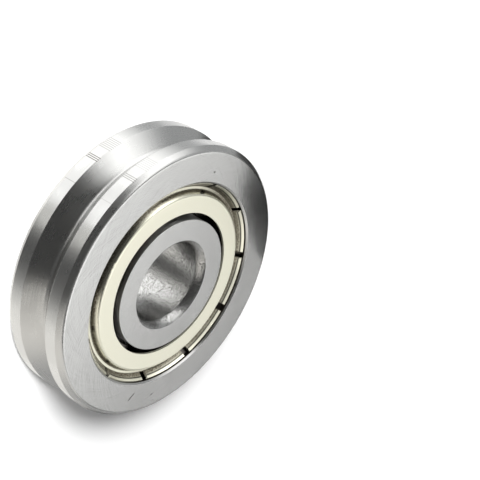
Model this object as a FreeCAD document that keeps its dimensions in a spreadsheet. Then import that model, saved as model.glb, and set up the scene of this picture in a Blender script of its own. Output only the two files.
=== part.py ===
import FreeCAD, Part
import math
import os
import Sketcher

# V groove wheel: a shielded deep groove ball bearing whose outer ring carries a V groove.
# Millimetres. The axis is Z, the origin is the middle of the bore, and +Z leaves the front face.

DIMENSIONS = {
    # Whole wheel
    "width": 9.0,
    "tread_radius": 17.5,
    "bore_radius": 5.0,
    # V groove, measured at the lands
    "groove_half_width": 2.1,
    "groove_half_angle": 45.0,
    "groove_root_round": 0.55,
    # Corners of the outer ring, a turned flat that is rounded at the side face
    "rim_corner_radial": 0.47,
    "rim_corner_axial": 0.75,
    "rim_corner_round": 0.5,
    # Inner ring, its wall measured from the bore to the bottom of the raceway
    "inner_wall": 2.599,
    "inner_shoulder_height": 0.851,
    "inner_shoulder_round": 0.05,
    # Corners of the bore, a shallow crown from the bore wall to the side face
    "bore_corner_radial": 0.8,
    "bore_corner_axial": 0.95,
    "bore_corner_crown": 2.0,
    "bore_corner_round": 0.1,
    # Balls and raceways, shoulders measured from the bottom of the raceway
    "ball_count": 8,
    "ball_radius": 2.381,
    "ball_play": 0.02,
    "raceway_relief": 0.089,
    "outer_shoulder_height": 0.851,
    # Seat of a shield in the outer ring
    "seat_width": 1.48,
    "seat_play": 0.02,
    "recess_chamfer": 0.2,
    "lip_depth": 0.3,
    "undercut": 0.25,
    "undercut_height": 0.4,
    # Pressed shield, depths measured from the side face
    "sheet": 0.3,
    "shield_gap": 0.75,
    "step_setback": 0.15,
    "step_run": 0.4,
    "flat_depth": 0.28,
    "flat_round": 0.3,
    "channel_width": 0.42,
    "channel_depth": 1.2,
    "channel_round": 0.15,
    "rim_tip_gap": 0.17,
    "rim_tip_depth": 0.33,
    "slot_count": 11,
    "slot_width": 0.92,
    "slot_setback": 0.05,
    "slot_start_angle": 90.0,
    # Riveted ribbon cage
    "cage_sheet": 0.36,
    "cage_inner_gap": 0.5,
    "cage_outer_gap": 0.5,
    "pocket_play": 0.1,
    "rivet_radius": 0.4,
    "rivet_play": 0.015,
    "rivet_head_radius": 0.72,
    "rivet_head_height": 0.3,
}

SHEET = "size"
AXIS_GEOMETRY = -1
START_POINT, END_POINT, CENTRE_POINT = range(1, 4)
FULL_TURN = 360.0
MATCH = 0.001
OVERCUT = 1.0


class Size:
    """A number together with the expression that works it out from the sheet."""

    def __init__(self, value, text):
        self.value = value
        self.text = text

    def joined(self, sign, other, value):
        """This size and another one under one operator."""
        return Size(value, "(%s %s %s)" % (self.text, sign, as_size(other).text))

    def __add__(self, other):
        return self.joined("+", other, self.value + as_size(other).value)

    def __sub__(self, other):
        return self.joined("-", other, self.value - as_size(other).value)

    def __mul__(self, other):
        return self.joined("*", other, self.value * as_size(other).value)

    def __truediv__(self, other):
        return self.joined("/", other, self.value / as_size(other).value)

    def __neg__(self):
        return Size(-self.value, "(-1 * %s)" % self.text)


def as_size(number):
    """A plain number as a size of its own."""
    if isinstance(number, Size):
        return number
    return Size(float(number), "%r" % float(number))


def root(size):
    """The square root of a size."""
    return Size(math.sqrt(size.value), "sqrt(%s)" % size.text)


def cosine(degrees):
    """The cosine of a size in degrees."""
    return Size(math.cos(math.radians(degrees.value)), "cos(%s)" % degrees.text)


def sine(degrees):
    """The sine of a size in degrees."""
    return Size(math.sin(math.radians(degrees.value)), "sin(%s)" % degrees.text)


def mitre(sheet, run, height):
    """How far the corner of a slanting sheet moves sideways from its top to its underside."""
    return sheet * (root(run * run + height * height) - run) / height


def new_sheet(doc):
    """Write the driving dimensions into a spreadsheet and give each as a size."""
    sheet = doc.addObject("Spreadsheet::Sheet", SHEET)
    for row, (name, value) in enumerate(DIMENSIONS.items(), start=1):
        sheet.set("A%d" % row, name)
        sheet.set("B%d" % row, str(value))
        sheet.setAlias("B%d" % row, name)
    doc.recompute()
    return {name: Size(float(sheet.get(name)), "%s.%s" % (SHEET, name)) for name in DIMENSIONS}


def add_shared_radii(s):
    """Work out the radii that several pieces share, from the bore outwards."""
    s["inner_race_bottom"] = s["bore_radius"] + s["inner_wall"]
    s["inner_shoulder_radius"] = s["inner_race_bottom"] + s["inner_shoulder_height"]
    s["pitch_radius"] = s["inner_race_bottom"] + s["ball_play"] + s["ball_radius"]
    s["outer_race_bottom"] = s["pitch_radius"] + s["ball_radius"] + s["ball_play"]
    s["outer_shoulder_radius"] = s["outer_race_bottom"] - s["outer_shoulder_height"]
    s["recess_radius"] = s["outer_shoulder_radius"] + s["seat_width"]
    s["raceway_radius"] = s["ball_radius"] + s["raceway_relief"]


def bind(item, path, size):
    """Tie one property of an object to the sheet."""
    item.setExpression(path, as_size(size).text)


def new_body(doc, label):
    """A body whose label names the piece."""
    body = doc.addObject("PartDesign::Body", label)
    body.Label = label
    return body


def new_sketch(body, name, role="XZ_Plane"):
    """A sketch on one of the body's own origin planes."""
    sketch = body.newObject("Sketcher::SketchObject", name)
    plane = [item for item in body.Origin.OriginFeatures if item.Role == role][0]
    sketch.AttachmentSupport = [(plane, "")]
    sketch.MapMode = "FlatFace"
    return sketch


def place_point(sketch, geometry, point, across, up):
    """Fix a point of a sketch at two sizes from the sketch's origin."""
    for kind, size in (("DistanceX", across), ("DistanceY", up)):
        size = as_size(size)
        held = Sketcher.Constraint(kind, AXIS_GEOMETRY, START_POINT, geometry, point, size.value)
        bind(sketch, "Constraints[%d]" % sketch.addConstraint(held), size)


def end_at(sketch, number, spot):
    """Which end of an edge lies at a spot, the start or the end point."""
    gaps = [(sketch.getPoint(number, point) - spot).Length for point in (START_POINT, END_POINT)]
    return START_POINT if gaps[0] < gaps[1] else END_POINT


def crowned(start, end, radius, side):
    """An arc between two spots that bulges to the left of the way (1) or to the right (-1)."""
    chord = end - start
    rise = radius - math.sqrt(radius ** 2 - (chord.Length / 2) ** 2)
    outward = FreeCAD.Vector(-chord.y, chord.x, 0).normalize() * side * rise
    return Part.Arc(start, (start + end) * 0.5 + outward, end)


def draw_outline(sketch, corners, arcs=None):
    """A closed outline through corners given as pairs of sizes, with some of its edges as arcs.

    arcs gives the radius and side of each edge that is an arc, by the number of its first corner.
    """
    arcs = arcs or {}
    spots = [FreeCAD.Vector(as_size(x).value, as_size(y).value, 0) for x, y in corners]
    count = len(corners)
    for number, spot in enumerate(spots):
        following = spots[(number + 1) % count]
        if number in arcs:
            radius, side = arcs[number]
            sketch.addGeometry(crowned(spot, following, radius.value, side))
            held = sketch.addConstraint(Sketcher.Constraint("Radius", number, radius.value))
            bind(sketch, "Constraints[%d]" % held, radius)
        else:
            sketch.addGeometry(Part.LineSegment(spot, following))
    for number, (across, up) in enumerate(corners):
        before = (number - 1) % count
        leaving = end_at(sketch, number, spots[number])
        arriving = end_at(sketch, before, spots[number])
        sketch.addConstraint(Sketcher.Constraint("Coincident", before, arriving, number, leaving))
        place_point(sketch, number, leaving, across, up)


def draw_circle(sketch, across, up, radius):
    """A full circle with its centre at two sizes from the sketch's origin."""
    centre = FreeCAD.Vector(as_size(across).value, as_size(up).value, 0)
    number = sketch.addGeometry(Part.Circle(centre, FreeCAD.Vector(0, 0, 1), radius.value))
    held = sketch.addConstraint(Sketcher.Constraint("Radius", number, radius.value))
    bind(sketch, "Constraints[%d]" % held, radius)
    place_point(sketch, number, CENTRE_POINT, across, up)


def turn(body, name, sketch, kind="PartDesign::Revolution"):
    """Turn a sketch right round the wheel's axis, to add or to cut."""
    feature = body.newObject(kind, name)
    feature.Profile = sketch
    feature.ReferenceAxis = (sketch, ["V_Axis"])
    feature.Angle = FULL_TURN
    sketch.Visibility = False
    body.Document.recompute()
    return feature


def mirror(body, name, originals):
    """Repeat features on the other side of the wheel's middle plane."""
    feature = body.newObject("PartDesign::Mirrored", name)
    feature.Originals = originals
    plane = [item for item in body.Origin.OriginFeatures if item.Role == "XY_Plane"][0]
    feature.MirrorPlane = (plane, [""])
    body.Tip = feature
    body.Document.recompute()
    return feature


def polar(body, name, originals, count):
    """Repeat features evenly round the wheel's axis."""
    feature = body.newObject("PartDesign::PolarPattern", name)
    feature.Originals = originals
    axis = [item for item in body.Origin.OriginFeatures if item.Role == "Z_Axis"][0]
    feature.Axis = (axis, [""])
    feature.Angle = FULL_TURN
    bind(feature, "Occurrences", count)
    body.Tip = feature
    body.Document.recompute()
    return feature


def ball_shape(body, name, kind, distance, radius):
    """A sphere feature on the body's X axis."""
    feature = body.newObject(kind, name)
    bind(feature, "Radius", radius)
    bind(feature, "Placement.Base.x", distance)
    body.Document.recompute()
    return feature


def ring_edges(shape, rings):
    """Names of the circular edges about Z at the given radii and heights."""
    names = []
    for number, edge in enumerate(shape.Edges, start=1):
        if not isinstance(edge.Curve, Part.Circle):
            continue
        for radius, height in rings:
            near_radius = abs(edge.Curve.Radius - as_size(radius).value) < MATCH
            near_height = abs(edge.Curve.Center.z - as_size(height).value) < MATCH
            on_axis = math.hypot(edge.Curve.Center.x, edge.Curve.Center.y) < MATCH
            if near_radius and near_height and on_axis:
                names.append("Edge%d" % number)
    return names


def round_rings(body, name, rings, radius):
    """Round circular edges, picked by their radius and height, with one fillet."""
    base = body.Tip
    feature = body.newObject("PartDesign::Fillet", name)
    feature.Base = (base, ring_edges(base.Shape, rings))
    bind(feature, "Radius", radius)
    body.Document.recompute()
    return feature


def both_sides(radius, height):
    """One ring above the middle plane and the same ring below it."""
    return [(radius, height), (radius, -height)]


def make_outer_ring(doc, s):
    """Ground ring with the V groove, two shield seats and the outer raceway."""
    half = s["width"] / 2
    tread = s["tread_radius"]
    face_edge = tread - s["rim_corner_radial"]
    land_edge = half - s["rim_corner_axial"]
    bore = s["outer_shoulder_radius"]
    body = new_body(doc, "outer_ring")

    blank = new_sketch(body, "outer_ring_blank")
    draw_outline(blank, [
        (bore, -half),
        (face_edge, -half),
        (tread, -land_edge),
        (tread, land_edge),
        (face_edge, half),
        (bore, half),
    ])
    turn(body, "outer_ring_turned", blank)
    round_rings(body, "outer_ring_corners", both_sides(face_edge, half), s["rim_corner_round"])

    slope = sine(s["groove_half_angle"]) / cosine(s["groove_half_angle"])
    bottom = tread - s["groove_half_width"] / slope
    mouth = s["groove_half_width"] + slope * OVERCUT
    vee = new_sketch(body, "v_groove_outline")
    draw_outline(vee, [(bottom, 0), (tread + OVERCUT, -mouth), (tread + OVERCUT, mouth)])
    turn(body, "v_groove", vee, "PartDesign::Groove")
    round_rings(body, "v_groove_root", [(bottom, 0)], s["groove_root_round"])

    race = new_sketch(body, "outer_raceway_outline")
    draw_circle(race, s["outer_race_bottom"] - s["raceway_radius"], 0, s["raceway_radius"])
    turn(body, "outer_raceway", race, "PartDesign::Groove")

    recess = s["recess_radius"]
    mouth_radius = recess + s["recess_chamfer"]
    wall = recess + s["undercut"]
    lip_bottom = half - s["lip_depth"]
    wall_top = lip_bottom - s["undercut"]
    wall_bottom = wall_top - s["undercut_height"]
    floor = half - s["channel_depth"] - s["sheet"] - s["seat_play"]
    seat = new_sketch(body, "shield_seat_outline")
    draw_outline(seat, [
        (bore - OVERCUT, half + OVERCUT),
        (bore - OVERCUT, floor),
        (wall - wall_bottom + floor, floor),
        (wall, wall_bottom),
        (wall, wall_top),
        (recess, lip_bottom),
        (recess, half - s["recess_chamfer"]),
        (mouth_radius, half),
        (mouth_radius, half + OVERCUT),
    ])
    front_seat = turn(body, "front_shield_seat", seat, "PartDesign::Groove")
    mirror(body, "rear_shield_seat", [front_seat])
    return body


def make_inner_ring(doc, s):
    """Ground ring with the bore, crowned bore corners and the inner raceway."""
    half = s["width"] / 2
    bore = s["bore_radius"]
    wall_end = half - s["bore_corner_axial"]
    face_edge = bore + s["bore_corner_radial"]
    crown = s["bore_corner_crown"]
    shoulder = s["inner_shoulder_radius"]
    body = new_body(doc, "inner_ring")

    blank = new_sketch(body, "inner_ring_blank")
    draw_outline(blank, [
        (bore, -wall_end),
        (face_edge, -half),
        (shoulder, -half),
        (shoulder, half),
        (face_edge, half),
        (bore, wall_end),
    ], arcs={0: (crown, -1), 4: (crown, -1)})
    turn(body, "inner_ring_turned", blank)
    round_rings(body, "bore_corners", both_sides(face_edge, half), s["bore_corner_round"])
    round_rings(body, "shoulder_corners", both_sides(shoulder, half), s["inner_shoulder_round"])

    race = new_sketch(body, "inner_raceway_outline")
    draw_circle(race, s["inner_race_bottom"] + s["raceway_radius"], 0, s["raceway_radius"])
    turn(body, "inner_raceway", race, "PartDesign::Groove")
    return body


def make_shield(doc, s, label):
    """Pressed disc, drawn with the wheel's side face at height 0 and the wheel below it.

    The flat steps down to a channel that rests on the seat's floor. The rim beyond the channel is
    flared up and out under the lip of the seat, and slots part it into tabs that can spread.
    """
    sheet = s["sheet"]
    bore = s["inner_shoulder_radius"] + s["shield_gap"]
    flat_edge = s["outer_shoulder_radius"] - s["step_setback"]
    channel_inner = flat_edge + s["step_run"]
    channel_outer = channel_inner + s["channel_width"]
    tip = s["recess_radius"] - s["rim_tip_gap"]
    flat_top = -s["flat_depth"]
    channel_top = -s["channel_depth"]
    tip_top = -s["rim_tip_depth"]
    reach = tip - channel_outer
    rise = tip_top - channel_top
    flare = root(reach * reach + rise * rise)
    step_shift = mitre(sheet, s["step_run"], flat_top - channel_top)
    channel_under = channel_top - sheet
    under_inner = channel_inner - step_shift
    under_outer = channel_outer + mitre(sheet, reach, rise)
    body = new_body(doc, label)

    section = new_sketch(body, label + "_section")
    draw_outline(section, [
        (bore, flat_top - sheet),
        (flat_edge - step_shift, flat_top - sheet),
        (under_inner, channel_under),
        (under_outer, channel_under),
        (tip + sheet * rise / flare, tip_top - sheet * reach / flare),
        (tip, tip_top),
        (channel_outer, channel_top),
        (channel_inner, channel_top),
        (flat_edge, flat_top),
        (bore, flat_top),
    ])
    turn(body, label + "_pressed", section)
    round_rings(body, label + "_step_bend", [(flat_edge, flat_top)], s["flat_round"])
    inside = [(channel_inner, channel_top), (channel_outer, channel_top)]
    round_rings(body, label + "_channel_inside", inside, s["channel_round"])
    outside = [(under_inner, channel_under), (under_outer, channel_under)]
    round_rings(body, label + "_channel_outside", outside, s["channel_round"] + sheet)

    slot = new_sketch(body, label + "_slot_outline", "XY_Plane")
    side = s["slot_width"] / 2
    slot_start = channel_outer + s["slot_setback"]
    slot_end = s["recess_radius"] + s["undercut"]
    draw_outline(slot, [
        (slot_start, -side),
        (slot_end, -side),
        (slot_end, side),
        (slot_start, side),
    ])
    bind(slot, "AttachmentOffset.Rotation.Angle", s["slot_start_angle"])
    cut = body.newObject("PartDesign::Pocket", label + "_slot")
    cut.Profile = slot
    cut.Type = "ThroughAll"
    cut.Midplane = True
    doc.recompute()
    polar(body, label + "_slots", [cut], s["slot_count"])
    return body


def make_cage_half(doc, s, label):
    """Pressed ribbon with a ball pocket for each ball, drawn with its joint face at height 0."""
    pitch = s["pitch_radius"]
    inside = s["inner_shoulder_radius"] + s["cage_inner_gap"]
    outside = s["outer_shoulder_radius"] - s["cage_outer_gap"]
    hollow = s["ball_radius"] + s["pocket_play"]
    dome = hollow + s["cage_sheet"]
    body = new_body(doc, label)

    flat = new_sketch(body, label + "_ribbon_section")
    draw_outline(flat, [
        (inside, 0),
        (outside, 0),
        (outside, s["cage_sheet"]),
        (inside, s["cage_sheet"]),
    ])
    turn(body, label + "_ribbon", flat)

    domes = ball_shape(body, label + "_dome", "PartDesign::AdditiveSphere", pitch, dome)
    polar(body, label + "_domes", [domes], s["ball_count"])

    around = new_sketch(body, label + "_blanking_outline")
    top = dome + OVERCUT
    draw_outline(around, [
        (0, top),
        (0, -top),
        (outside + dome, -top),
        (outside + dome, top),
        (outside, top),
        (outside, 0),
        (inside, 0),
        (inside, top),
    ])
    turn(body, label + "_blanked", around, "PartDesign::Groove")

    pocket = ball_shape(body, label + "_pocket", "PartDesign::SubtractiveSphere", pitch, hollow)
    polar(body, label + "_pockets", [pocket], s["ball_count"])

    hole = new_sketch(body, label + "_rivet_hole_outline", "XY_Plane")
    draw_circle(hole, pitch, 0, s["rivet_radius"] + s["rivet_play"])
    bind(hole, "AttachmentOffset.Rotation.Angle", as_size(FULL_TURN / 2) / s["ball_count"])
    cut = body.newObject("PartDesign::Pocket", label + "_rivet_hole")
    cut.Profile = hole
    cut.Type = "ThroughAll"
    cut.Midplane = True
    doc.recompute()
    polar(body, label + "_rivet_holes", [cut], s["ball_count"])
    return body


def make_rivets(doc, s):
    """One rivet between each two pockets, with a domed head at both ends."""
    shank = s["rivet_radius"]
    head = s["rivet_head_radius"]
    height = s["rivet_head_height"]
    crown = (head * head + height * height) / (height * 2)
    pitch = s["pitch_radius"]
    grip = s["cage_sheet"]
    body = new_body(doc, "cage_rivets")
    body.AllowCompound = True

    section = new_sketch(body, "rivet_section")
    draw_outline(section, [
        (pitch, -grip - height),
        (pitch + head, -grip),
        (pitch + shank, -grip),
        (pitch + shank, grip),
        (pitch + head, grip),
        (pitch, grip + height),
    ], arcs={0: (crown, -1), 4: (crown, -1)})
    rivet = body.newObject("PartDesign::Revolution", "rivet")
    rivet.Profile = section
    rivet.ReferenceAxis = (section, ["Edge6"])
    rivet.Angle = FULL_TURN
    doc.recompute()
    polar(body, "rivets", [rivet], s["ball_count"])
    bind(body, "Placement.Rotation.Angle", as_size(FULL_TURN / 2) / s["ball_count"])
    return body


def make_ball(doc, s, number):
    """One ball in its place on the pitch circle."""
    ball = doc.addObject("Part::Sphere", "ball_%d" % (number + 1))
    ball.Label = "ball_%d" % (number + 1)
    angle = as_size(FULL_TURN * number) / s["ball_count"]
    bind(ball, "Radius", s["ball_radius"])
    bind(ball, "Placement.Base.x", s["pitch_radius"] * cosine(angle))
    bind(ball, "Placement.Base.y", s["pitch_radius"] * sine(angle))
    return ball


def turn_over(body):
    """Lay a piece the other way up, about the X axis."""
    body.Placement.Rotation = FreeCAD.Rotation(FreeCAD.Vector(1, 0, 0), 180)


def check(doc, pieces):
    """Stop on any object that failed and on any piece with no sound solid."""
    for item in doc.Objects:
        if "Invalid" in item.State or "Error" in item.State:
            raise RuntimeError("%s failed: %s" % (item.Name, item.State))
    for piece in pieces:
        if piece.Shape.isNull() or not piece.Shape.isValid() or not piece.Shape.Solids:
            raise RuntimeError("%s has no sound solid" % piece.Label)


def main():
    doc = FreeCAD.newDocument("v_groove_wheel")
    s = new_sheet(doc)
    add_shared_radii(s)
    half = s["width"] / 2
    pieces = [make_outer_ring(doc, s), make_inner_ring(doc, s)]

    shield_front = make_shield(doc, s, "shield_front")
    shield_rear = make_shield(doc, s, "shield_rear")
    bind(shield_front, "Placement.Base.z", half)
    turn_over(shield_rear)
    bind(shield_rear, "Placement.Base.z", -half)

    cage_front = make_cage_half(doc, s, "cage_front")
    cage_rear = make_cage_half(doc, s, "cage_rear")
    turn_over(cage_rear)
    pieces += [shield_front, shield_rear, cage_front, cage_rear, make_rivets(doc, s)]
    pieces += [make_ball(doc, s, number) for number in range(int(s["ball_count"].value))]

    doc.recompute()
    check(doc, pieces)
    os.makedirs("parts", exist_ok=True)
    for piece in pieces:
        piece.Shape.exportStep("parts/%s.step" % piece.Label)
        print("%s: %d solids, %.3f mm3" % (piece.Label, len(piece.Shape.Solids), piece.Shape.Volume))


main()
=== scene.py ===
"""Looks of a steel V groove wheel: its turned and ground rings, pressed shields and studio."""
import math

import bmesh
import bpy
from bpy.props import FloatProperty, FloatVectorProperty, IntProperty, PointerProperty
from mathutils import Matrix, Vector


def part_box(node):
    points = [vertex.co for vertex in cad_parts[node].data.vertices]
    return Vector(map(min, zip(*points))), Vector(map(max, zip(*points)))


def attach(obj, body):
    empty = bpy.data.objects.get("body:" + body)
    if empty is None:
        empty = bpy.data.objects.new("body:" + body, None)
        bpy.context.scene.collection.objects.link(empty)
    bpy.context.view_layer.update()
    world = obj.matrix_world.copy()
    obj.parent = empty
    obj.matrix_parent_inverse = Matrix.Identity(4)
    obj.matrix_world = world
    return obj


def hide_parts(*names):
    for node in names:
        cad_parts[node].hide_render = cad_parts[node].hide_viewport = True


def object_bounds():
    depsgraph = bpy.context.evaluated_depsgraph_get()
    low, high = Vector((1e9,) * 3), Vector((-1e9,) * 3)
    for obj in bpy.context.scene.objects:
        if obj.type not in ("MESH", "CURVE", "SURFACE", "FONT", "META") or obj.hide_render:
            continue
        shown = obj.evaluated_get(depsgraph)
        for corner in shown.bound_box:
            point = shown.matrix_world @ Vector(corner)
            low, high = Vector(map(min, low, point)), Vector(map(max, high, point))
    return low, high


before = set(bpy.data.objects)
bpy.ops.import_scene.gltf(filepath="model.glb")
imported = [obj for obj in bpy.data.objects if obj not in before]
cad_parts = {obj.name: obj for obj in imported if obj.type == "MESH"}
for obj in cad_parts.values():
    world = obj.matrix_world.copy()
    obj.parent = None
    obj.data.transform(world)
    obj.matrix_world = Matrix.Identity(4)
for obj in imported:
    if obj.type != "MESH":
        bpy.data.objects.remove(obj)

bl_info = {
    "name": "V Groove Wheel",
    "version": (1, 0, 0),
    "blender": (4, 5, 0),
    "location": "3D View > Sidebar > V Groove Wheel",
    "description": "Finishes the rings, shields, cage and balls of a V groove wheel",
    "category": "Object",
}

CAD_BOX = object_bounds()
RING_LOW, RING_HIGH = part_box("outer_ring")
INNER_LOW, INNER_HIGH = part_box("inner_ring")
MM = 0.001
MERGE = 1e-7  # metres between verts that are one
FINE_ROUND = 0.1 * MM  # roundings below this take few faces
FINE_SEGMENTS, ROUND_SEGMENTS = 3, 8
RACE_STEPS = 24
DISC_SEGMENTS = 96
SHARP_RATIO = 3  # an edge is sharp where its faces' areas differ this much


def linear(hexadecimal):
    """An sRGB hex colour as linear red, green and blue."""
    levels = [int(hexadecimal[i:i + 2], 16) / 255 for i in (0, 2, 4)]
    return tuple(c / 12.92 if c <= 0.04045 else ((c + 0.055) / 1.055) ** 2.4 for c in levels)


def length(name, description, millimetres):
    """A size that a user may change, given in millimetres and kept in metres."""
    return FloatProperty(name=name, description=description, default=millimetres * MM, unit="LENGTH")


def turn(name, description, degrees):
    """An angle that a user may change, given in degrees and kept in radians."""
    return FloatProperty(name=name, description=description, default=math.radians(degrees), subtype="ANGLE")


def colour(name, description, hexadecimal):
    """A colour that a user may change, given as sRGB hex."""
    return FloatVectorProperty(name=name, description=description, default=linear(hexadecimal),
                               subtype="COLOR", size=3, min=0, max=1)


class WheelSizes(bpy.types.PropertyGroup):
    """Sizes of both rings, the three largest of them taken from the solids."""
    tread_radius: FloatProperty(name="Tread radius", description="Axis to the lands",
                                default=RING_HIGH.x, unit="LENGTH")
    half_width: FloatProperty(name="Half width", description="Middle plane to a side face",
                              default=RING_HIGH.z, unit="LENGTH")
    shoulder_radius: FloatProperty(name="Inner shoulder", description="Outside of the inner ring",
                                   default=INNER_HIGH.x, unit="LENGTH")
    bore_radius: length("Bore radius", "Axis to the bore wall", 5.0)
    bore_corner_radial: length("Bore corner, radial", "How far the corner cuts into the face", 0.8)
    bore_corner_axial: length("Bore corner, axial", "How far the corner runs down the bore", 0.95)
    bore_corner_crown: length("Bore corner crown", "Radius of the corner's shallow crown", 2.0)
    shoulder_round: length("Shoulder round", "Rounding of the inner ring's shoulder", 0.05)
    groove_half_width: length("Groove half width", "Half the V groove's mouth", 2.1)
    groove_root_round: length("Groove root", "Rounding at the bottom of the V groove", 0.55)
    corner_radial: length("Rim corner, radial", "How far the rim corner cuts in", 0.47)
    corner_axial: length("Rim corner, axial", "How far the rim corner runs along the tread", 0.75)
    corner_round: length("Rim corner round", "Rounding between rim corner and side face", 0.5)
    edge_break: length("Edge break", "Tiny rounding that honing leaves on sharp edges", 0.03)
    outer_shoulder: length("Outer shoulder", "Bore of the outer ring beside its raceway", 11.55)
    race_radius: length("Raceway radius", "Radius of both raceways' section", 2.47)
    outer_race: length("Outer raceway", "Axis to the centre of the outer raceway's section", 9.931)
    inner_race: length("Inner raceway", "Axis to the centre of the inner raceway's section", 10.069)
    recess_radius: length("Recess radius", "Mouth of the shield's seat", 13.03)
    recess_chamfer: length("Recess chamfer", "Chamfer of that mouth", 0.2)
    lip_depth: length("Lip depth", "Depth of the seat's plain lip", 0.3)
    undercut: length("Undercut", "How far the seat widens below the lip", 0.25)
    undercut_height: length("Undercut height", "Straight part of the undercut", 0.4)
    seat_depth: length("Seat depth", "Side face to the floor of the seat", 1.52)
    turns: IntProperty(name="Steps round", description="Faces round each ring", default=360, min=32)


class WheelColours(bpy.types.PropertyGroup):
    """Colours of the metals, of what lies on them, and of the shade painted into the shields and their seats."""
    steel: colour("Ring steel", "Ground bearing steel", "c6c6c4")
    bore_steel: colour("Bore steel", "Honed bore, darker than the ground faces", "b8b8b6")
    soiled: colour("Soiled steel", "Bottom of scratches and chatter marks", "55524e")
    # The seats' colour is painted shade, darker than the ring steel.
    scale: colour("Scale", "Shade painted into the shield seats and the ring's inside", "5c5854")
    # The channels' colour is oily dirt together with painted shade, darker deeper in.
    grime_and_shade: colour("Grime", "Oily dust and painted shade deep in the shields' channels", "4e4536")
    # This colour is painted shade in the creases of the shields' rims.
    painted_crease_shade: colour("Crease shade", "Shade painted into the creases of the shields' rims", "17140f")
    plating: colour("Shield plating", "Passivated zinc on the pressed shields", "efedda")
    cage: colour("Cage steel", "Tumbled strip steel, dulled by grease", "7c7974")
    ball: colour("Ball steel", "Lapped balls", "cfcfcf")


class StudioSettings(bpy.types.PropertyGroup):
    """Camera, lamp, table and even light."""
    lens: FloatProperty(name="Lens", description="Focal length in millimetres", default=109.8)
    place: FloatVectorProperty(name="Camera place", description="Where the camera stands",
                               default=(-0.009668, -0.142554, 0.100692), subtype="TRANSLATION",
                               unit="LENGTH", size=3, precision=6)
    heading: turn("Heading", "Looks this far from +Y towards +X", 0.4405)
    dip: turn("Dip", "Looks this far below the horizon", 32.5496)
    roll: turn("Roll", "Turn about the line of sight", 119.4994)
    fill: FloatProperty(name="Fill", description="Even light on matt surfaces", default=0.17)
    unlit: FloatProperty(name="Unlit", description="What metal mirrors between the softboxes", default=0.07)
    key: FloatProperty(name="Key", description="Strength of the soft sun", default=4.85)
    key_from: turn("Key from", "Side of the soft sun, from +X to +Y", 248)
    key_height: turn("Key height", "Height of the soft sun", 33)
    key_spread: turn("Key spread", "Width of the soft sun, which blurs its shadow", 15)
    floor_radius: FloatProperty(name="Floor", description="Radius of the table top",
                                default=3.0, unit="LENGTH")
    floor_lift: FloatProperty(name="Floor lift", description="Glow that keeps the lit table white",
                              default=0.06)


# Node helpers

def add(tree, kind, inputs=None, **settings):
    """Add a node with its settings, and give its inputs values or links."""
    made = tree.nodes.new(kind)
    for name, value in settings.items():
        setattr(made, name, value)
    for name, value in (inputs or {}).items():
        socket = made.inputs[name]
        if isinstance(value, bpy.types.NodeSocket):
            tree.links.new(value, socket)
        elif isinstance(value, (tuple, list)) and len(value) == 3 and socket.type == "RGBA":
            socket.default_value = (*value, 1)
        else:
            socket.default_value = value
    return made


def maths(tree, operation, first, second=0.0, third=0.0):
    """One arithmetic step on two or three numbers."""
    return add(tree, "ShaderNodeMath", {0: first, 1: second, 2: third}, operation=operation).outputs[0]


def vector_maths(tree, operation, first, second=(0.0, 0.0, 0.0), output=0):
    """One arithmetic step on two vectors."""
    return add(tree, "ShaderNodeVectorMath", {0: first, 1: second}, operation=operation).outputs[output]


def scaled(tree, vector, factor):
    """A vector made longer by a factor."""
    return add(tree, "ShaderNodeVectorMath", {0: vector, "Scale": factor}, operation="SCALE").outputs[0]


def ramp(tree, value, low, high, start=0.0, end=1.0):
    """A smooth change from start to end while a value goes from low to high."""
    return add(tree, "ShaderNodeMapRange", {"Value": value, "From Min": low, "From Max": high,
                                            "To Min": start, "To Max": end},
               interpolation_type="SMOOTHSTEP").outputs[0]


def noise(tree, vector, scale, detail, roughness=0.5):
    """Soft noise, its scale in cells a millimetre where the vector is in millimetres."""
    return add(tree, "ShaderNodeTexNoise", {"Vector": vector, "Scale": scale, "Detail": detail,
                                            "Roughness": roughness}).outputs["Fac"]


def mixed(tree, factor, first, second):
    """One colour that goes over to another as a factor goes from 0 to 1."""
    return add(tree, "ShaderNodeMix", {"Factor": factor, 6: first, 7: second}, data_type="RGBA").outputs[2]


def bumped(tree, relief, strength, millimetres, **under):
    """A normal that follows a relief whose full height is given in millimetres."""
    return add(tree, "ShaderNodeBump", {"Height": relief, "Strength": strength,
                                        "Distance": millimetres * MM, **under}).outputs[0]


def new_material(name):
    """An empty material and its node tree."""
    made = bpy.data.materials.new(name)
    made.use_nodes = True
    made.node_tree.nodes.clear()
    return made, made.node_tree


def finish_material(tree, surface):
    """Send a shader to the material's output."""
    add(tree, "ShaderNodeOutputMaterial", {"Surface": surface})


def bare_steel(tree, tint, roughness, normal=None, pull=0.0):
    """Finish a material as metal, whose highlights its lay pulls out sideways."""
    inputs = {"Base Color": tint, "Metallic": 1.0, "Roughness": roughness}
    if normal is not None:
        inputs["Normal"] = normal
    if pull:
        inputs.update({"Anisotropic": pull, "Tangent": across_the_lay(tree)})
    finish_material(tree, add(tree, "ShaderNodeBsdfPrincipled", inputs).outputs[0])


def round_coordinates(tree):
    """Millimetres along and about the wheel's axis: the point, its radius, its height, its angle."""
    place = add(tree, "ShaderNodeTexCoord").outputs["Object"]
    point = scaled(tree, place, 1 / MM)
    x, y, height = add(tree, "ShaderNodeSeparateXYZ", {0: point}).outputs
    squares = maths(tree, "ADD", maths(tree, "MULTIPLY", x, x), maths(tree, "MULTIPLY", y, y))
    return point, maths(tree, "SQRT", squares), height, maths(tree, "ARCTAN2", y, x)


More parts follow.
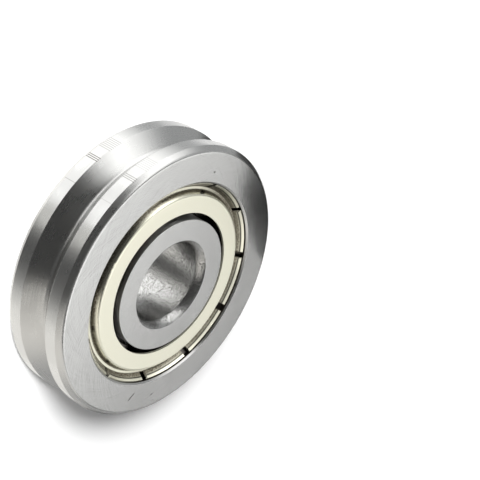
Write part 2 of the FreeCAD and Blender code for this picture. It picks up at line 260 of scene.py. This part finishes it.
def across_the_lay(tree):
    """Direction along the surface and square to rings about the wheel's axis."""
    place = add(tree, "ShaderNodeTexCoord").outputs["Object"]
    along = vector_maths(tree, "CROSS_PRODUCT", (0.0, 0.0, 1.0), place)
    along = add(tree, "ShaderNodeVectorTransform", {0: along}, vector_type="VECTOR",
                convert_from="OBJECT", convert_to="WORLD").outputs[0]
    normal = add(tree, "ShaderNodeNewGeometry").outputs["Normal"]
    return vector_maths(tree, "NORMALIZE", vector_maths(tree, "CROSS_PRODUCT", along, normal))


def drawn_out_noise(tree, angle, level, round_cells, level_cells, detail, roughness):
    """Noise with its own numbers of cells round the axis and across a level."""
    vector = add(tree, "ShaderNodeCombineXYZ", {
        "X": maths(tree, "MULTIPLY", maths(tree, "COSINE", angle), round_cells),
        "Y": maths(tree, "MULTIPLY", maths(tree, "SINE", angle), round_cells),
        "Z": maths(tree, "MULTIPLY", level, level_cells),
    }).outputs[0]
    return noise(tree, vector, 1.0, detail, roughness)


def lay_level(tree, radius, height):
    """A level that changes on faces and treads alike, so that rings differ on both."""
    return maths(tree, "MULTIPLY_ADD", radius, 0.31, height)


def ring_lines(tree, radius, height, angle, fine, coarse):
    """Noise drawn out into rings about the axis: fine cells a millimetre across, coarse ones round."""
    return drawn_out_noise(tree, angle, lay_level(tree, radius, height), coarse, fine, 3.0, 0.6)


def hatching(tree, radius, height, angle, fine, coarse):
    """Noise drawn out across the lay: short hairs that stand square to the rings."""
    return drawn_out_noise(tree, angle, lay_level(tree, radius, height), fine, coarse, 2.0, 0.5)


def swept_lines(tree, radius, angle, twist, count):
    """Noise drawn out along curves that sweep across the face as they go outwards."""
    turned = maths(tree, "MULTIPLY_ADD", radius, twist, angle)
    return drawn_out_noise(tree, turned, radius, count, 0.5, 2.0, 0.55)


def chatter(tree, angle, centre, reach, spacing, depth):
    """Evenly spaced hairlines across the lay, round one angle in degrees, where the wheel shook."""
    degrees = maths(tree, "SUBTRACT", maths(tree, "MULTIPLY", angle, 180 / math.pi), centre)
    wave = maths(tree, "COSINE", maths(tree, "MULTIPLY", degrees, 2 * math.pi / spacing))
    inside = ramp(tree, maths(tree, "ABSOLUTE", degrees), reach * 0.8, reach, depth, 0.0)
    return maths(tree, "MULTIPLY", ramp(tree, wave, 0.1, 0.7), inside)


def on_wheel(radius, degrees, height):
    """A point in millimetres from its radius, its angle and its height."""
    angle = math.radians(degrees)
    return Vector((radius * math.cos(angle), radius * math.sin(angle), height))


def nick(tree, point, mark):
    """A scratch or dot: its depth along the line between two points of the wheel, 0 off it."""
    start, end = on_wheel(*mark["start"]), on_wheel(*mark["end"])
    way = end - start
    apart = vector_maths(tree, "SUBTRACT", point, tuple(start))
    along = vector_maths(tree, "DOT_PRODUCT", apart, tuple(way / way.length_squared), "Value")
    along = add(tree, "ShaderNodeClamp", {"Value": along}).outputs[0]
    gap = vector_maths(tree, "DISTANCE", apart, scaled(tree, tuple(way), along), "Value")
    return ramp(tree, gap, mark["width"] * 0.4, mark["width"], mark["depth"], 0.0)


def deepest(tree, depths):
    """The largest of several depths at each point."""
    total = depths[0]
    for depth in depths[1:]:
        total = maths(tree, "MAXIMUM", total, depth)
    return total


# Hairlines on the lands: angle of their middle and how far they reach in degrees, spacing and depth.
CHATTER = (
    dict(centre=-119.8, reach=1.4, spacing=0.85, depth=1.0),
    dict(centre=-128.5, reach=3.8, spacing=0.95, depth=0.45),
    dict(centre=-107.4, reach=0.5, spacing=0.6, depth=0.5),
)
# Each end is a radius in millimetres, an angle in degrees and a height in millimetres.
TREAD_MARKS = (
    dict(start=(17.3, -89.9, 3.75), end=(17.2, -89.5, 4.05), width=0.09, depth=0.7),
    dict(start=(15.9, -106.2, 0.3), end=(16.2, -106.4, 0.62), width=0.12, depth=0.9),
)
FACE_MARKS = (
    dict(start=(15.29, 15.0, 4.5), end=(14.4, 17.2, 4.5), width=0.11, depth=1.0),
    dict(start=(15.29, 30.1, 4.5), end=(15.22, 30.5, 4.5), width=0.14, depth=0.9),
    dict(start=(14.47, -165.4, 4.5), end=(14.42, -165.1, 4.5), width=0.15, depth=0.8),
)


# Materials, with radii and heights in millimetres

def worn(tree, colours, depth):
    """Bright steel that goes dark where a mark is deep."""
    return mixed(tree, depth, tuple(colours.steel), tuple(colours.soiled))


def ground_tread_steel(colours):
    """Hardened bearing steel, ground round its tread: mirror bars run across it, blurred along the axis."""
    made, tree = new_material("ground_tread_steel")
    point, radius, height, angle = round_coordinates(tree)
    lines = ring_lines(tree, radius, height, angle, 14.0, 5.0)
    hairs = hatching(tree, radius, height, angle, 60.0, 1.2)
    patches = noise(tree, point, 0.35, 3.0)
    shaken = deepest(tree, [chatter(tree, angle, **group) for group in CHATTER])
    on_the_lands = ramp(tree, radius, 17.4, 17.46)
    fainter_in_front = ramp(tree, height, -3.0, 3.0, 1.0, 0.6)
    shaken = maths(tree, "MULTIPLY", maths(tree, "MULTIPLY", shaken, on_the_lands), fainter_in_front)
    nicks = deepest(tree, [nick(tree, point, mark) for mark in TREAD_MARKS])
    depth = maths(tree, "MAXIMUM", shaken, nicks)
    roughness = maths(tree, "MULTIPLY_ADD", lines, 0.14, ramp(tree, patches, 0.3, 0.7, 0.19, 0.25))
    relief = maths(tree, "MULTIPLY_ADD", hairs, 1.5, lines)
    relief = maths(tree, "MULTIPLY_ADD", depth, -0.2, relief)
    bare_steel(tree, worn(tree, colours, depth), roughness, bumped(tree, relief, 0.45, 0.005), pull=0.9)
    return made


def ground_face_steel(colours):
    """Bearing steel side face, ground flat: fine arcs sweep across it both ways, over a soft sheen."""
    made, tree = new_material("ground_face_steel")
    point, radius, _, angle = round_coordinates(tree)
    one_way = swept_lines(tree, radius, angle, 0.14, 95.0)
    other_way = swept_lines(tree, radius, angle, -0.11, 80.0)
    lines = maths(tree, "ADD", one_way, other_way)
    patches = noise(tree, point, 0.3, 3.0)
    nicks = deepest(tree, [nick(tree, point, mark) for mark in FACE_MARKS])
    cuts = ramp(tree, lines, 1.05, 1.35, 0.0, 0.22)
    roughness = maths(tree, "MULTIPLY_ADD", lines, 0.07, ramp(tree, patches, 0.3, 0.7, 0.1, 0.14))
    relief = maths(tree, "MULTIPLY_ADD", nicks, -0.5, lines)
    depth = maths(tree, "MAXIMUM", cuts, nicks)
    bare_steel(tree, worn(tree, colours, depth), roughness, bumped(tree, relief, 0.5, 0.01), pull=0.4)
    return made


def turned_steel(name, tint, smoothest, roughest):
    """Bearing steel as the lathe left it, with rings of tool marks: dull, and as dark as its tint, which in the
    shield seats is painted shade.
    """
    made, tree = new_material(name)
    _, radius, height, angle = round_coordinates(tree)
    lines = ring_lines(tree, radius, height, angle, 9.0, 3.0)
    roughness = ramp(tree, lines, 0.2, 0.8, smoothest, roughest)
    bare_steel(tree, tuple(tint), roughness, bumped(tree, lines, 0.5, 0.01), pull=0.6)
    return made


def honed_bore_steel(colours):
    """Bearing steel bore, ground and honed: bright, with a mottle of crossed strokes and dark pits."""
    made, tree = new_material("honed_bore_steel")
    point, radius, height, angle = round_coordinates(tree)
    mottle = noise(tree, point, 2.6, 5.0, 0.7)
    lines = ring_lines(tree, radius, height, angle, 8.0, 9.0)
    pits = ramp(tree, noise(tree, point, 8.0, 1.0), 0.54, 0.62, 0.0, 0.85)
    relief = maths(tree, "MULTIPLY_ADD", pits, -0.4, maths(tree, "ADD", lines, mottle))
    tint = mixed(tree, pits, tuple(colours.bore_steel), tuple(colours.soiled))
    roughness = ramp(tree, mottle, 0.3, 0.7, 0.09, 0.2)
    bare_steel(tree, tint, roughness, bumped(tree, relief, 1.0, 0.025), pull=0.5)
    return made


def passivated_zinc_plate(colours):
    """Pressed sheet steel, zinc plated and passivated: cream and silky on the flat, glossy in the bends."""
    made, tree = new_material("passivated_zinc_plate")
    point, radius, height, angle = round_coordinates(tree)
    level = maths(tree, "ABSOLUTE", height)
    grain = noise(tree, point, 6.0, 4.0, 0.65)
    clouds = noise(tree, point, 0.5, 3.0)
    flat = ramp(tree, radius, 11.3, 11.55, 1.0, 0.0)
    slope = maths(tree, "MULTIPLY", ramp(tree, radius, 11.2, 11.35), ramp(tree, radius, 11.85, 11.9, 1.0, 0.0))
    valley = maths(tree, "MULTIPLY", ramp(tree, radius, 11.8, 11.95), ramp(tree, radius, 12.12, 12.22, 1.0, 0.0))
    flare = ramp(tree, radius, 12.2, 12.3)
    silky = maths(tree, "MAXIMUM", flat, valley)
    roughness = maths(tree, "MULTIPLY_ADD", clouds, 0.08, ramp(tree, silky, 0.0, 1.0, 0.18, 0.32))
    # Oily dirt and painted shade lie thick deep in the channel; one half of its floor is painted lighter, as if
    # lit, and the other half keeps the painted shade.
    toward_shaded_side = maths(tree, "COSINE", maths(tree, "SUBTRACT", angle, math.radians(120)))
    painted_lit_side = maths(tree, "MULTIPLY", valley, ramp(tree, toward_shaded_side, 0.1, 0.7, 1.0, 0.0))
    # Painted shade: darker deeper in the channel, except on the half of its floor that is painted as lit.
    deep_grime_and_shade = maths(tree, "MULTIPLY", ramp(tree, level, 3.6, 4.1, 1.0, 0.0), maths(tree, "SUBTRACT", 1.0, painted_lit_side))
    deep_grime_and_shade = maths(tree, "MULTIPLY", deep_grime_and_shade, ramp(tree, grain, 0.3, 0.65, 0.6, 1.0))
    tint = mixed(tree, deep_grime_and_shade, tuple(colours.plating), tuple(colours.grime_and_shade))
    # A dark line painted half way up the flare, in its crease, is painted shade.
    off_the_crease = maths(tree, "ABSOLUTE", maths(tree, "SUBTRACT", level, 3.84))
    crease = maths(tree, "MULTIPLY", ramp(tree, off_the_crease, 0.04, 0.09, 0.85, 0.0), flare)
    tint = mixed(tree, crease, tint, tuple(colours.painted_crease_shade))
    metallic = maths(tree, "MULTIPLY_ADD", slope, 0.15, ramp(tree, radius, 12.15, 12.3, 0.85, 0.5))
    # The slope is dished in pressing, so it mirrors light from higher up than a cone would.
    lift = maths(tree, "MULTIPLY", maths(tree, "SIGN", height), maths(tree, "MULTIPLY", slope, 0.27))
    upright = add(tree, "ShaderNodeCombineXYZ", {"Z": lift}).outputs[0]
    normal = add(tree, "ShaderNodeNewGeometry").outputs["Normal"]
    dished = vector_maths(tree, "NORMALIZE", vector_maths(tree, "ADD", normal, upright))
    plate = add(tree, "ShaderNodeBsdfPrincipled", {
        "Base Color": tint, "Metallic": metallic, "Roughness": roughness,
        "Normal": bumped(tree, grain, 0.35, 0.012, Normal=dished),
    })
    finish_material(tree, plate.outputs[0])
    return made


def tumbled_strip_steel(colours):
    """Pressed strip steel, tumbled after pressing: grey, with a soft even pitting."""
    made, tree = new_material("tumbled_strip_steel")
    point, _, _, _ = round_coordinates(tree)
    pits = noise(tree, point, 4.0, 5.0)
    roughness = ramp(tree, pits, 0.3, 0.7, 0.32, 0.45)
    bare_steel(tree, tuple(colours.cage), roughness, bumped(tree, pits, 0.4, 0.01))
    return made


def lapped_ball_steel(colours):
    """Bearing steel balls, lapped: near mirrors with the faintest haze."""
    made, tree = new_material("lapped_ball_steel")
    point, _, _, _ = round_coordinates(tree)
    bare_steel(tree, tuple(colours.ball), ramp(tree, noise(tree, point, 1.5, 3.0), 0.3, 0.7, 0.05, 0.09))
    return made


# Turned pieces

def distance_along(before, corner, after, radius):
    """How far from a corner an arc of a radius starts."""
    one, other = (before - corner).normalized(), (after - corner).normalized()
    return radius / math.tan(one.angle(other) / 2)


def crown_peak(start, end, radius):
    """Where the tangents meet of an arc that bulges between two points of a section."""
    start, end = Vector(start), Vector(end)
    half_chord = (end - start) / 2
    rise = half_chord.length * math.tan(math.asin(half_chord.length / radius))
    return start + half_chord + Vector((half_chord.y, -half_chord.x)).normalized() * rise


def mirrored(front):
    """The rear half of a section from its front half."""
    return [(radius, -height, rounding) for radius, height, rounding in reversed(front)]


def turned_ring(name, corners, steps, race):
    """A ring turned from a section given as (radius, height, rounding), closed by its raceway."""
    centre, race_radius = race
    bm = bmesh.new()
    verts = [bm.verts.new((radius, 0, height)) for radius, height, _ in corners]
    for one, other in zip(verts, verts[1:]):
        bm.edges.new((one, other))
    points = [vert.co.copy() for vert in verts]
    for number in range(1, len(corners) - 1):
        rounding = corners[number][2]
        offset = distance_along(points[number - 1], points[number], points[number + 1], rounding)
        segments = FINE_SEGMENTS if rounding < FINE_ROUND else ROUND_SEGMENTS
        bmesh.ops.bevel(bm, geom=[verts[number]], offset=offset, offset_type="OFFSET",
                        affect="VERTICES", segments=segments, profile=0.5, material=-1)
    start, end = points[-1], points[0]
    middle = Vector((centre, 0, 0))
    sweep = (start - middle).angle(end - middle)
    side = -1 if start.x > centre else 1
    last = [vert for vert in bm.verts if (vert.co - start).length < MERGE / 100]
    bmesh.ops.spin(bm, geom=last, cent=middle, axis=(0, 1, 0), dvec=(0, 0, 0), steps=RACE_STEPS,
                   angle=side * sweep, use_merge=False)
    bmesh.ops.remove_doubles(bm, verts=bm.verts, dist=MERGE)
    bmesh.ops.spin(bm, geom=bm.verts[:] + bm.edges[:], cent=(0, 0, 0), axis=(0, 0, 1),
                   dvec=(0, 0, 0), angle=2 * math.pi, steps=steps, use_merge=True)
    bmesh.ops.remove_doubles(bm, verts=bm.verts, dist=MERGE)
    bmesh.ops.recalc_face_normals(bm, faces=bm.faces)
    return finished(name, bm)


def finished(name, bm):
    """A smooth object from a bmesh, whose broad faces don't bend in the shading beside narrow ones."""
    for face in bm.faces:
        face.smooth = True
    for edge in bm.edges:
        areas = [face.calc_area() for face in edge.link_faces]
        edge.smooth = max(areas) < SHARP_RATIO * min(areas)
    return linked(name, bm)


def linked(name, bm):
    """An object in the scene from a bmesh."""
    mesh = bpy.data.meshes.new(name)
    bm.to_mesh(mesh)
    bm.free()
    made = bpy.data.objects.new(name, mesh)
    bpy.context.scene.collection.objects.link(made)
    return made


def paint(piece, materials, choose):
    """Give each face the material that a test on its middle and normal picks."""
    for material in materials:
        piece.data.materials.append(material)
    for face in piece.data.polygons:
        radius = math.hypot(face.center.x, face.center.y)
        face.material_index = choose(radius, abs(face.center.z), abs(face.normal.z))


def take_over(piece, node, body):
    """Put a piece in a node's place and its body."""
    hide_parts(node)
    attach(piece, body)


class Piece:
    """What the operators share: each can be undone."""
    bl_options = {"REGISTER", "UNDO"}


class WHEEL_OT_outer_ring(Piece, bpy.types.Operator):
    """Turn and grind the outer ring with its V groove, shield seats and raceway"""
    bl_idname = "wheel.outer_ring"
    bl_label = "Outer ring"

    def execute(self, context):
        s, colours = context.scene.wheel_sizes, context.scene.wheel_colours
        half, tread, tiny = s.half_width, s.tread_radius, s.edge_break
        recess, wall = s.recess_radius, s.recess_radius + s.undercut
        lip, floor, seat = half - s.lip_depth, half - s.seat_depth, half - s.recess_chamfer
        upper = lip - s.undercut
        lower = upper - s.undercut_height
        race_edge = math.sqrt(s.race_radius ** 2 - (s.outer_shoulder - s.outer_race) ** 2)
        front = [
            (s.outer_shoulder, race_edge, 0),
            (s.outer_shoulder, floor, tiny),
            (wall - lower + floor, floor, tiny),
            (wall, lower, tiny),
            (wall, upper, tiny),
            (recess, lip, tiny),
            (recess, seat, tiny),
            (recess + s.recess_chamfer, half, tiny),
            (tread - s.corner_radial, half, s.corner_round),
            (tread, half - s.corner_axial, tiny),
            (tread, s.groove_half_width, tiny),
        ]
        root = [(tread - s.groove_half_width, 0, s.groove_root_round)]
        ring = turned_ring("outer_ring_ground", front + root + mirrored(front), s.turns,
                           (s.outer_race, s.race_radius))
        tread_steel, face_steel = ground_tread_steel(colours), ground_face_steel(colours)
        # The seats and the inside of the ring take a dark tint: painted shade.
        shaded_seat_steel = turned_steel("turned_recess_steel", colours.scale, 0.28, 0.4)

        def choose(radius, height, tilt):
            if tilt > 0.9 and radius > recess and height > lip:
                return 1
            return 2 if radius < wall and height < seat else 0

        paint(ring, [tread_steel, face_steel, shaded_seat_steel], choose)
        take_over(ring, "outer_ring", "wheel")
        return {"FINISHED"}


class WHEEL_OT_inner_ring(Piece, bpy.types.Operator):
    """Turn and grind the inner ring with its bore and raceway"""
    bl_idname = "wheel.inner_ring"
    bl_label = "Inner ring"

    def execute(self, context):
        s, colours = context.scene.wheel_sizes, context.scene.wheel_colours
        half, bore, shoulder = s.half_width, s.bore_radius, s.shoulder_radius
        face_edge, wall_end = bore + s.bore_corner_radial, half - s.bore_corner_axial
        race_edge = math.sqrt(s.race_radius ** 2 - (s.inner_race - shoulder) ** 2)
        peak = crown_peak((face_edge, half), (bore, wall_end), s.bore_corner_crown)
        front = [
            (shoulder, race_edge, 0),
            (shoulder, half, s.shoulder_round),
            (face_edge, half, s.edge_break * 2),
            (*peak, s.bore_corner_crown * 0.85),
            (bore, wall_end, s.edge_break),
        ]
        ring = turned_ring("inner_ring_ground", front + mirrored(front), s.turns,
                           (s.inner_race, s.race_radius))
        shoulder_steel = turned_steel("turned_shoulder_steel", colours.steel, 0.2, 0.6)
        face_steel, bore_steel = ground_face_steel(colours), honed_bore_steel(colours)

        def choose(radius, height, tilt):
            if tilt > 0.9 and height > half - 0.1 * MM:
                return 1
            return 2 if radius < face_edge else 0

        paint(ring, [shoulder_steel, face_steel, bore_steel], choose)
        take_over(ring, "inner_ring", "hub")
        return {"FINISHED"}


def recoat(names, material):
    """Give nodes of the frame a better material in their own slot."""
    for name in names:
        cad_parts[name].material_slots[0].material = material


class WHEEL_OT_shields(Piece, bpy.types.Operator):
    """Plate the two pressed shields"""
    bl_idname = "wheel.shields"
    bl_label = "Shields"

    def execute(self, context):
        recoat(("shield_front", "shield_rear"), passivated_zinc_plate(context.scene.wheel_colours))
        return {"FINISHED"}


class WHEEL_OT_cage(Piece, bpy.types.Operator):
    """Tumble the ball cage and its rivets"""
    bl_idname = "wheel.cage"
    bl_label = "Cage"

    def execute(self, context):
        recoat(("cage_front", "cage_rear", "cage_rivets"), tumbled_strip_steel(context.scene.wheel_colours))
        return {"FINISHED"}


class WHEEL_OT_balls(Piece, bpy.types.Operator):
    """Lap the balls"""
    bl_idname = "wheel.balls"
    bl_label = "Balls"

    def execute(self, context):
        balls = [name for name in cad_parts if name.startswith("ball_")]
        recoat(balls, lapped_ball_steel(context.scene.wheel_colours))
        return {"FINISHED"}


# Studio

# Directions are in degrees: 0 looks along +Y, 90 along +X, and a height of 0 is level.
# Each panel is laid over those before it; soft and fade are the widths of its upright and level edges.
STUDIO = (
    dict(name="table", centre=0, half_width=400, soft=1, middle=-66, half_height=33, fade=2,
         strength=1.66, tint="f8f7f4"),
    dict(name="table by the window", centre=-135, half_width=34, soft=5, middle=-57.5, half_height=38,
         fade=10, strength=2.2, tint="ffffff"),
    dict(name="right wall", centre=83, half_width=44.5, soft=9, middle=5, half_height=39, fade=2.5,
         strength=1.2, tint="f6f3ee"),
    dict(name="ceiling", centre=4.6, half_width=49, soft=8.7, middle=64, half_height=30, fade=6,
         strength=1.6, tint="ffffff"),
    dict(name="left wall", centre=-67, half_width=40, soft=6, middle=-3, half_height=54.5, fade=7,
         strength=0.53, tint="f6f8fa"),
    dict(name="window", centre=-103.6, half_width=20, soft=19, middle=4.6, half_height=58, fade=3.5,
         strength=2.25, tint="ffffff"),
    dict(name="dark doorway", centre=143, half_width=28, soft=20, middle=-33, half_height=52, fade=8.5,
         strength=0.13, tint="ffffff"),
    dict(name="far wall", centre=18, half_width=54, soft=21, middle=6, half_height=19, fade=3.5,
         strength=0.51, tint="ffffff"),
    dict(name="shelf", centre=38, half_width=16, soft=6, middle=42, half_height=7, fade=5,
         strength=0.75, tint="ffffff"),
    dict(name="far corner of the table", centre=-33, half_width=13.3, soft=11, middle=-45, half_height=20,
         fade=5, strength=1.5, tint="ffffff"),
)
# Round black cards near the wheel, in millimetres, seen only in reflections; the one below the bore is painted
# shade, standing for the table's shade under the bore.
FLAGS = (
    dict(name="flag_beside", radius=13, centre=(-20.1, 19, 4), upright=True),
    dict(name="shade_under_bore", radius=2.3, centre=(-3.6, 3.1, -4.6), upright=False),
)


def within(tree, value, middle, half, edge):
    """1 within half a width of a middle and 0 beyond it, with a soft edge."""
    apart = maths(tree, "ABSOLUTE", maths(tree, "SUBTRACT", value, middle))
    return ramp(tree, apart, half - edge, half + edge, 1, 0)


def panel_of_light(tree, under, azimuth, elevation, light):
    """Lay one softbox, wall or flag over the light so far, by its place and size in degrees."""
    wide = within(tree, azimuth, light["centre"], light["half_width"], light["soft"])
    tall = within(tree, elevation, light["middle"], light["half_height"], light["fade"])
    level = tuple(light["strength"] * c for c in linear(light["tint"]))
    return mixed(tree, maths(tree, "MULTIPLY", wide, tall), under, level)


def studio_light(scene):
    """White for the camera, even for matt surfaces, and softboxes and dark walls for metal."""
    settings = scene.studio_settings
    world = bpy.data.worlds.new("studio")
    world.use_nodes = True
    tree = world.node_tree
    tree.nodes.clear()
    ray = add(tree, "ShaderNodeTexCoord").outputs["Generated"]
    x, y, z = add(tree, "ShaderNodeSeparateXYZ", {0: ray}).outputs
    azimuth = maths(tree, "MULTIPLY", maths(tree, "ARCTAN2", x, y), 180 / math.pi)
    azimuth = maths(tree, "WRAP", azimuth, 170, -190)
    elevation = maths(tree, "MULTIPLY", maths(tree, "ARCSINE", z), 180 / math.pi)
    seen = (settings.unlit,) * 3
    for light in STUDIO:
        seen = panel_of_light(tree, seen, azimuth, elevation, light)
    paths = add(tree, "ShaderNodeLightPath").outputs
    matt = mixed(tree, paths["Is Diffuse Ray"], seen, (settings.fill,) * 3)
    shown = mixed(tree, paths["Is Camera Ray"], matt, (1.0, 1.0, 1.0))
    background = add(tree, "ShaderNodeBackground", {"Color": shown, "Strength": 1.0})
    add(tree, "ShaderNodeOutputWorld", {"Surface": background.outputs[0]})
    scene.world = world


def stage_disc(name, radius, matrix, material, hidden_from):
    """A round card of the studio, which some kinds of ray pass by."""
    bm = bmesh.new()
    bmesh.ops.create_circle(bm, cap_ends=True, segments=DISC_SEGMENTS, radius=radius, matrix=matrix)
    disc = linked(name, bm)
    disc.data.materials.append(material)
    for ray in hidden_from:
        setattr(disc, "visible_" + ray, False)


def table_top(scene):
    """A pale matt table under the wheel, which keeps its soft shadow."""
    settings = scene.studio_settings
    made, tree = new_material("white_table_card")
    card = add(tree, "ShaderNodeBsdfDiffuse", {"Color": linear("ffffff")})
    seen = add(tree, "ShaderNodeLightPath").outputs["Is Camera Ray"]
    lift = add(tree, "ShaderNodeEmission", {"Strength": maths(tree, "MULTIPLY", seen, settings.floor_lift)})
    finish_material(tree, add(tree, "ShaderNodeAddShader", {0: card.outputs[0], 1: lift.outputs[0]}).outputs[0])
    place = Matrix.Translation((0, 0, CAD_BOX[0].z))
    stage_disc("table_top", settings.floor_radius, place, made, ("glossy",))


def dark_flag(name, radius, centre, upright):
    """A round black card near the wheel, seen only as a reflection, paler towards +X."""
    made, tree = new_material(name + "_card")
    place = add(tree, "ShaderNodeTexCoord").outputs["Object"]
    x = add(tree, "ShaderNodeSeparateXYZ", {0: place}).outputs[0]
    card = add(tree, "ShaderNodeEmission", {"Strength": ramp(tree, x, -14 * MM, -7.5 * MM, 0.04, 0.15)})
    finish_material(tree, card.outputs[0])
    stand = Matrix.Translation(Vector(centre) * MM) @ Matrix.Rotation(math.pi / 2 if upright else 0, 4, "X")
    stage_disc(name, radius * MM, stand, made, ("camera", "diffuse", "shadow"))


def soft_sun(scene):
    """The one lamp that casts a shadow, broad enough to blur it."""
    settings = scene.studio_settings
    lamp = bpy.data.lights.new("soft_sun", "SUN")
    lamp.energy = settings.key
    lamp.angle = settings.key_spread
    sun = bpy.data.objects.new("soft_sun", lamp)
    scene.collection.objects.link(sun)
    level = math.cos(settings.key_height)
    towards = Vector((level * math.cos(settings.key_from), level * math.sin(settings.key_from),
                      math.sin(settings.key_height)))
    sun.rotation_euler = towards.to_track_quat("Z", "Y").to_euler()
    sun.visible_glossy = False


def camera(scene):
    """A long lens above the wheel, rolled on its side."""
    settings = scene.studio_settings
    data = bpy.data.cameras.new("camera")
    data.lens = settings.lens
    data.sensor_width = 36
    data.clip_start = 0.01
    data.clip_end = 20
    made = bpy.data.objects.new("camera", data)
    scene.collection.objects.link(made)
    made.matrix_world = (Matrix.Translation(settings.place)
                         @ Matrix.Rotation(-settings.heading, 4, "Z")
                         @ Matrix.Rotation(math.pi / 2 - settings.dip, 4, "X")
                         @ Matrix.Rotation(settings.roll, 4, "Z"))
    scene.camera = made


class WHEEL_OT_studio(Piece, bpy.types.Operator):
    """Set up the table, the light and the camera"""
    bl_idname = "wheel.studio"
    bl_label = "Studio"

    def execute(self, context):
        scene = context.scene
        studio_light(scene)
        table_top(scene)
        for flag in FLAGS:
            dark_flag(**flag)
        soft_sun(scene)
        camera(scene)
        scene.view_settings.view_transform = "Standard"
        return {"FINISHED"}


OPERATORS = (WHEEL_OT_outer_ring, WHEEL_OT_inner_ring, WHEEL_OT_shields, WHEEL_OT_cage,
             WHEEL_OT_balls, WHEEL_OT_studio)


class WHEEL_PT_pieces(bpy.types.Panel):
    """Lists one button for each piece or group, and one for the studio"""
    bl_idname = "WHEEL_PT_pieces"
    bl_label = "V groove wheel"
    bl_space_type = "VIEW_3D"
    bl_region_type = "UI"
    bl_category = "V Groove Wheel"

    def draw(self, context):
        for operator in OPERATORS:
            self.layout.operator(operator.bl_idname)


GROUPS = {"wheel_sizes": WheelSizes, "wheel_colours": WheelColours, "studio_settings": StudioSettings}


def register():
    """Register the settings, the operators and the panel."""
    for name, group in GROUPS.items():
        bpy.utils.register_class(group)
        setattr(bpy.types.Scene, name, PointerProperty(type=group))
    for operator in OPERATORS:
        bpy.utils.register_class(operator)
    bpy.utils.register_class(WHEEL_PT_pieces)


def unregister():
    """Take back all that register added."""
    bpy.utils.unregister_class(WHEEL_PT_pieces)
    for operator in reversed(OPERATORS):
        bpy.utils.unregister_class(operator)
    for name, group in reversed(GROUPS.items()):
        delattr(bpy.types.Scene, name)
        bpy.utils.unregister_class(group)


def main():
    register()
    bpy.ops.wheel.studio()
    bpy.ops.wheel.outer_ring()
    bpy.ops.wheel.inner_ring()
    bpy.ops.wheel.shields()
    bpy.ops.wheel.cage()
    bpy.ops.wheel.balls()
    bpy.context.view_layer.update()


if __name__ == "__main__":
    main()
